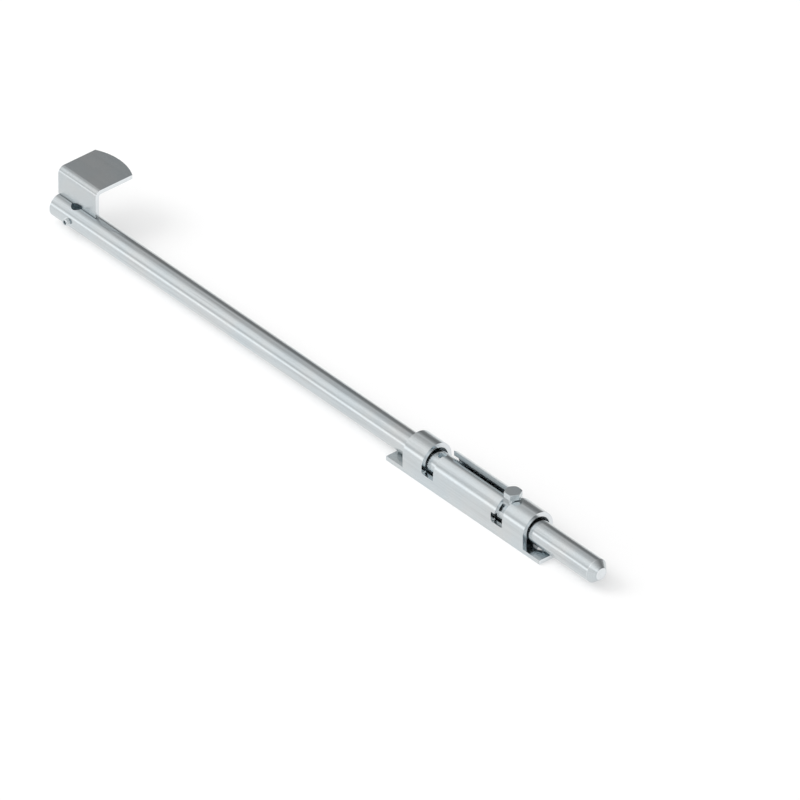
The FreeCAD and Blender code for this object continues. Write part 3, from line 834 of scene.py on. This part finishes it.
blade = [
    (handle_low.x - BLADE_SPARE, blade_heel),
    *arc(bow_centre, bow_radius, 90 + bow_degrees, 90 - bow_degrees, BOW_STEPS),
    (handle_high.x + BLADE_SPARE, blade_heel),
    (handle_high.x + BLADE_SPARE, handle_high.y + OVERCUT),
    (handle_low.x - BLADE_SPARE, handle_high.y + OVERCUT),
]
shear = prism("shear", blade, "Z", under - OVERCUT, handle_high.z + OVERCUT)
tang_top = flange_foot + SHEET
tang_outline = [
    (handle_station - TANG_HALF, handle_low.z), (handle_station + TANG_HALF, handle_low.z),
    (handle_station + TANG_HALF, tang_top), (handle_station - TANG_HALF, tang_top),
]
tang = prism("tang", tang_outline, "Y", face_y, face_y + SHEET)
handle_mesh = combine(combine(angle, [shear], "DIFFERENCE"), [tang], "UNION")
handle_mesh = break_edges(handle_mesh, EDGE)
handle_finish = zinc_plate(
    "zinc_on_handle", "along X", 0.19, tone=0.95, grain_depth=0.5, mottle=1.8, end_highlight=1.0,
)
show("handle_sheet", handle_mesh, handle_finish, "handle", "handle")


# ---------------------------------------------------------------------------------------
# Grub screw: M5 steel, with a hexagon socket for a 2.5 mm key in its outer end. It
# clamps the tang against the wall of its hole. Cold formed, thread rolled, then plated.
# ---------------------------------------------------------------------------------------

KEY_FLATS = 2.5 * MM
KEY_DEPTH = 3.0 * MM
SOCKET_MOUTH = 1.6 * MM   # radius of the cone that leads the key in
MOUTH_DEPTH = 0.5 * MM
SCREW_STEPS = 48


def hexagon(centre, flats, turn):
    """A hexagon by its size across flats, its first corner at an angle in degrees."""
    corner = flats / math.sqrt(3)
    return arc(centre, corner, turn, turn + 300, 5)


grub_length = grub_high.y - grub_low.y
grub_finish = zinc_plate("zinc_on_grub_screw", "round Z", 0.15, grain_depth=0.5)
grub_place = Matrix.Translation((handle_station, grub_high.y, axis_z)) @ grub_turn
grub_body = thread(GRUB_ROOT, GRUB_CREST, GRUB_PITCH, grub_length, grub_finish, grub_place)
key_hexagon = hexagon((handle_station, axis_z), KEY_FLATS, 90)
key_socket = prism("key_socket", key_hexagon, "Y", grub_low.y - OVERCUT, grub_low.y + KEY_DEPTH)
mouth_profile = [
    (SOCKET_MOUTH - MOUTH_DEPTH, MOUTH_DEPTH), (SOCKET_MOUTH + MOUTH_DEPTH, -MOUTH_DEPTH),
]
mouth_place = (handle_station, grub_low.y, axis_z)
socket_mouth = lathe("mouth", mouth_profile, "Y", mouth_place, SCREW_STEPS)
grub_mesh = combine(grub_body, [key_socket, socket_mouth], "DIFFERENCE")
show("grub_screw_m5", grub_mesh, grub_finish, "grub_screw", "grub_screw")


# ---------------------------------------------------------------------------------------
# Hex bolt: M6 steel, 10 mm across flats, threaded up to its head. It screws through the
# rod, and runs in the housing's slot. Cold headed, thread rolled, then plated.
# ---------------------------------------------------------------------------------------

BOLT_FLATS = 10.0 * MM
HEAD_HEIGHT = 4.0 * MM
HEAD_CHAMFER = 0.55 * MM
CROWN_SHARE = 0.95        # the flat top's radius, as a share of half the flats
CROWN_STEPS = 96
FOOT_CHAMFER = 0.35 * MM  # under the head, at its corners
HEAD_SPARE = 0.02 * MM    # keeps the two cones clear of the head's corners
HEAD_EDGE = 0.07 * MM
NECK_LENGTH = 0.9 * MM
NECK_OVERLAP = 0.45 * MM  # how far the neck and the thread run into each other
NECK_RADIUS = 2.6 * MM
FILLET = 0.3 * MM         # where the neck meets the head
BOLT_START = 26.0         # degrees at which the thread starts

bolt_finish = zinc_plate("zinc_on_hex_bolt", "round Z", 0.17, tone=0.99, grain_depth=0.6)
bolt_axis = (front_middle, axis_y)
head_seat = bolt_high.z - HEAD_HEIGHT
corner_radius = BOLT_FLATS / math.sqrt(3)
crown_radius = BOLT_FLATS / 2 * CROWN_SHARE
head_block = prism("head", hexagon(bolt_axis, BOLT_FLATS, 0), "Z", head_seat, bolt_high.z)
head_block = break_edges(head_block, HEAD_EDGE)
crown_width = corner_radius - crown_radius
spare_height = HEAD_SPARE * HEAD_CHAMFER / crown_width
crown_profile = [
    (crown_radius - crown_width, head_seat - FOOT_CHAMFER),
    (corner_radius + HEAD_SPARE, head_seat + FOOT_CHAMFER + spare_height),
    (corner_radius + HEAD_SPARE, bolt_high.z - HEAD_CHAMFER - spare_height),
    (crown_radius - crown_width, bolt_high.z + HEAD_CHAMFER),
]
crown = lathe("crown", crown_profile, "Z", (*bolt_axis, 0), CROWN_STEPS)
head = combine(head_block, [crown], "INTERSECT")
shank_length = head_seat - bolt_low.z - NECK_LENGTH + NECK_OVERLAP
bolt_turn = Matrix.Rotation(math.radians(BOLT_START), 4, "Z")
bolt_place = Matrix.Translation((*bolt_axis, bolt_low.z)) @ bolt_turn
shank = thread(BOLT_ROOT, BOLT_CREST, BOLT_PITCH, shank_length, bolt_finish, bolt_place)
neck_profile = [
    (NECK_RADIUS, head_seat - NECK_LENGTH - NECK_OVERLAP),
    (NECK_RADIUS, head_seat - FILLET),
    (NECK_RADIUS + FILLET, head_seat),
    (NECK_RADIUS + FILLET, head_seat + FILLET),
]
neck = lathe("neck", neck_profile, "Z", (*bolt_axis, 0), SCREW_STEPS)
bolt_mesh = combine(head, [shank, neck], "UNION")
show("hex_bolt_m6", bolt_mesh, bolt_finish, "hex_bolt", "hex_bolt")
